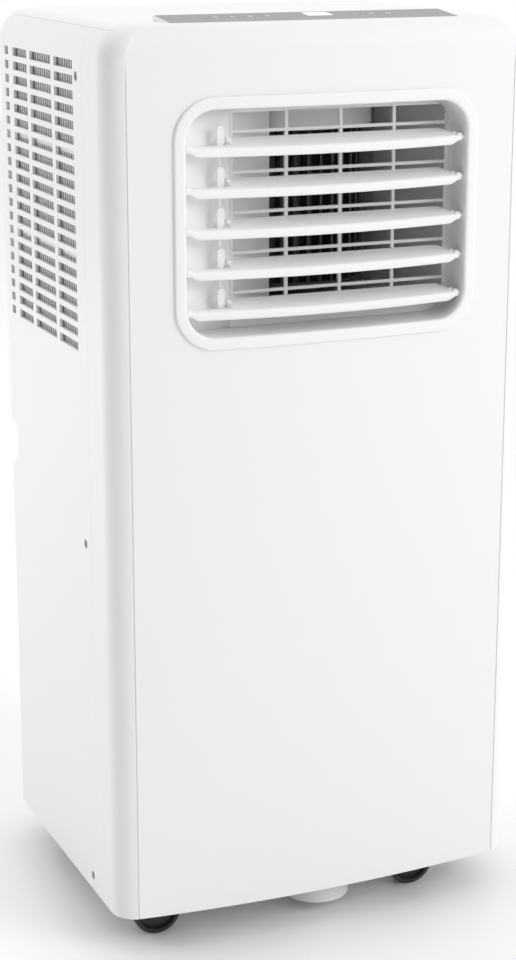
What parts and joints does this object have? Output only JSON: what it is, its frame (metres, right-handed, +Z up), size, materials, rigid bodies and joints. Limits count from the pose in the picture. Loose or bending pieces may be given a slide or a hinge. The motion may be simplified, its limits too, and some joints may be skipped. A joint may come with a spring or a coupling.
{
  "type": "portable air conditioner",
  "caption": "Free-standing white portable air conditioner on casters, with a slatted front outlet, side intake slots, a top control strip and a round rear exhaust collar.",
  "frame": {"origin": "on the floor under the middle of the casing", "axes": "+Z up, -Y out of the front with the air outlet, +X to the right as seen from the front"},
  "size_m": [0.336, 0.2778, 0.7019],
  "materials": {
    "casing_white": "satin white moulded plastic",
    "vent_white": "satin white moulded plastic",
    "slat_white": "satin white moulded plastic",
    "grid_grey": "light grey moulded plastic",
    "panel_grey": "mid grey printed overlay",
    "display": "pale display window",
    "board": "green circuit board",
    "screen_grey": "fine moulded screen",
    "screw_steel": "dark plated steel",
    "galvanised": "galvanised sheet",
    "fan_grey": "dark fan plastic",
    "motor_steel": "pressed steel",
    "fin_aluminium": "thin fins",
    "copper": "copper tube",
    "compressor_black": "black paint",
    "rubber_black": "moulded rubber",
    "caster_black": "black nylon",
    "pan_white": "white moulded plastic"
  },
  "bodies": {
    "cabinet": {"base_pan": "pan_white", "drain_sump": "pan_white", "front_casing": "casing_white", "side_panel_left": "casing_white", "side_panel_right": "casing_white", "rear_panel": "casing_white", "top_cover": "casing_white", "vent_bezel": "vent_white", "vent_grid": "grid_grey", "control_panel": "panel_grey", "display_lens": "display", "control_board": "board", "side_screen_left": "screen_grey", "side_screen_right": "screen_grey", "casing_screws": "screw_steel", "exhaust_collar": "casing_white", "exhaust_duct": "galvanised", "condenser_scroll": "galvanised", "condenser_motor": "motor_steel", "condenser_coil": "fin_aluminium", "condenser_bends": "copper", "evaporator_coil": "fin_aluminium", "evaporator_bends": "copper", "blower_scroll": "grid_grey", "blower_motor": "motor_steel", "partition_deck": "grid_grey", "compressor": "compressor_black", "compressor_grommets": "rubber_black", "accumulator": "compressor_black", "refrigerant_pipes": "copper", "control_box": "galvanised", "run_capacitor": "motor_steel", "drain_plug_lower": "rubber_black", "drain_plug_upper": "rubber_black", "cord_inlet": "rubber_black"},
    "slat_1": {"slat_1": "slat_white"},
    "slat_2": {"slat_2": "slat_white"},
    "slat_3": {"slat_3": "slat_white"},
    "slat_4": {"slat_4": "slat_white"},
    "slat_5": {"slat_5": "slat_white"},
    "slat_link": {"slat_link": "grid_grey"},
    "button_1": {"button_1": "panel_grey"},
    "button_2": {"button_2": "panel_grey"},
    "button_3": {"button_3": "panel_grey"},
    "button_4": {"button_4": "panel_grey"},
    "button_5": {"button_5": "panel_grey"},
    "button_6": {"button_6": "panel_grey"},
    "button_7": {"button_7": "panel_grey"},
    "caster_fork_1": {"caster_fork_1": "caster_black"},
    "caster_wheel_1": {"caster_wheel_1": "caster_black"},
    "caster_fork_2": {"caster_fork_2": "caster_black"},
    "caster_wheel_2": {"caster_wheel_2": "caster_black"},
    "caster_fork_3": {"caster_fork_3": "caster_black"},
    "caster_wheel_3": {"caster_wheel_3": "caster_black"},
    "caster_fork_4": {"caster_fork_4": "caster_black"},
    "caster_wheel_4": {"caster_wheel_4": "caster_black"},
    "blower_wheel": {"blower_wheel": "fan_grey"},
    "condenser_wheel": {"condenser_wheel": "fan_grey"},
    "rear_filter": {"rear_grille": "casing_white", "filter_mesh": "screen_grey"}
  },
  "joints": [
    {"name": "slat_1_tilt", "type": "hinge", "parent": "cabinet", "child": "slat_1", "pos_m": [0, -0.1265, 0.6119], "axis": [1, 0, 0], "range_deg": [-35, 25]},
    {"name": "slat_2_tilt", "type": "hinge", "parent": "cabinet", "child": "slat_2", "pos_m": [0, -0.1265, 0.5828], "axis": [1, 0, 0], "range_deg": [-35, 25]},
    {"name": "slat_3_tilt", "type": "hinge", "parent": "cabinet", "child": "slat_3", "pos_m": [0, -0.1265, 0.5537], "axis": [1, 0, 0], "range_deg": [-35, 25]},
    {"name": "slat_4_tilt", "type": "hinge", "parent": "cabinet", "child": "slat_4", "pos_m": [0, -0.1265, 0.5246], "axis": [1, 0, 0], "range_deg": [-35, 25]},
    {"name": "slat_5_tilt", "type": "hinge", "parent": "cabinet", "child": "slat_5", "pos_m": [0, -0.1265, 0.4955], "axis": [1, 0, 0], "range_deg": [-35, 25]},
    {"name": "slat_link_pivot", "type": "hinge", "parent": "slat_1", "child": "slat_link", "pos_m": [-0.0785, -0.11491, 0.61501], "axis": [1, 0, 0], "range_deg": [-25, 35]},
    {"name": "button_1_press", "type": "slide", "parent": "cabinet", "child": "button_1", "axis": [0, 0.1097, -0.994], "range_m": [0, 0.0008], "stiffness_N_per_m": 600, "springref_m": -0.0005},
    {"name": "button_2_press", "type": "slide", "parent": "cabinet", "child": "button_2", "axis": [0, 0.1097, -0.994], "range_m": [0, 0.0008], "stiffness_N_per_m": 600, "springref_m": -0.0005},
    {"name": "button_3_press", "type": "slide", "parent": "cabinet", "child": "button_3", "axis": [0, 0.1097, -0.994], "range_m": [0, 0.0008], "stiffness_N_per_m": 600, "springref_m": -0.0005},
    {"name": "button_4_press", "type": "slide", "parent": "cabinet", "child": "button_4", "axis": [0, 0.1097, -0.994], "range_m": [0, 0.0008], "stiffness_N_per_m": 600, "springref_m": -0.0005},
    {"name": "button_5_press", "type": "slide", "parent": "cabinet", "child": "button_5", "axis": [0, 0.1097, -0.994], "range_m": [0, 0.0008], "stiffness_N_per_m": 600, "springref_m": -0.0005},
    {"name": "button_6_press", "type": "slide", "parent": "cabinet", "child": "button_6", "axis": [0, 0.1097, -0.994], "range_m": [0, 0.0008], "stiffness_N_per_m": 600, "springref_m": -0.0005},
    {"name": "button_7_press", "type": "slide", "parent": "cabinet", "child": "button_7", "axis": [0, 0.1097, -0.994], "range_m": [0, 0.0008], "stiffness_N_per_m": 600, "springref_m": -0.0005},
    {"name": "caster_1_swivel", "type": "hinge", "parent": "cabinet", "child": "caster_fork_1", "pos_m": [-0.1108, -0.093, 0.045], "axis": [0, 0, 1], "continuous": true},
    {"name": "caster_1_roll", "type": "hinge", "parent": "caster_fork_1", "child": "caster_wheel_1", "pos_m": [-0.1272, -0.093, 0.0195], "axis": [0, 1, 0], "continuous": true},
    {"name": "caster_2_swivel", "type": "hinge", "parent": "cabinet", "child": "caster_fork_2", "pos_m": [0.1108, -0.093, 0.045], "axis": [0, 0, 1], "continuous": true},
    {"name": "caster_2_roll", "type": "hinge", "parent": "caster_fork_2", "child": "caster_wheel_2", "pos_m": [0.0944, -0.093, 0.0195], "axis": [0, 1, 0], "continuous": true},
    {"name": "caster_3_swivel", "type": "hinge", "parent": "cabinet", "child": "caster_fork_3", "pos_m": [-0.1108, 0.088, 0.045], "axis": [0, 0, 1], "continuous": true},
    {"name": "caster_3_roll", "type": "hinge", "parent": "caster_fork_3", "child": "caster_wheel_3", "pos_m": [-0.1272, 0.088, 0.0195], "axis": [0, 1, 0], "continuous": true},
    {"name": "caster_4_swivel", "type": "hinge", "parent": "cabinet", "child": "caster_fork_4", "pos_m": [0.1108, 0.088, 0.045], "axis": [0, 0, 1], "continuous": true},
    {"name": "caster_4_roll", "type": "hinge", "parent": "caster_fork_4", "child": "caster_wheel_4", "pos_m": [0.0944, 0.088, 0.0195], "axis": [0, 1, 0], "continuous": true},
    {"name": "blower_spin", "type": "hinge", "parent": "cabinet", "child": "blower_wheel", "pos_m": [0.017, -0.012, 0.558], "axis": [0, 0, 1], "continuous": true},
    {"name": "condenser_spin", "type": "hinge", "parent": "cabinet", "child": "condenser_wheel", "pos_m": [-0.06, 0.023, 0.19], "axis": [0, 1, 0], "continuous": true},
    {"name": "rear_filter_pull", "type": "slide", "parent": "cabinet", "child": "rear_filter", "axis": [0, 1, 0], "range_m": [0, 0.06]}
  ],
  "couplings": [
    {"joint": "slat_2_tilt", "follows": "slat_1_tilt", "ratio": 1},
    {"joint": "slat_3_tilt", "follows": "slat_1_tilt", "ratio": 1},
    {"joint": "slat_4_tilt", "follows": "slat_1_tilt", "ratio": 1},
    {"joint": "slat_5_tilt", "follows": "slat_1_tilt", "ratio": 1},
    {"joint": "slat_link_pivot", "follows": "slat_1_tilt", "ratio": -1}
  ]
}
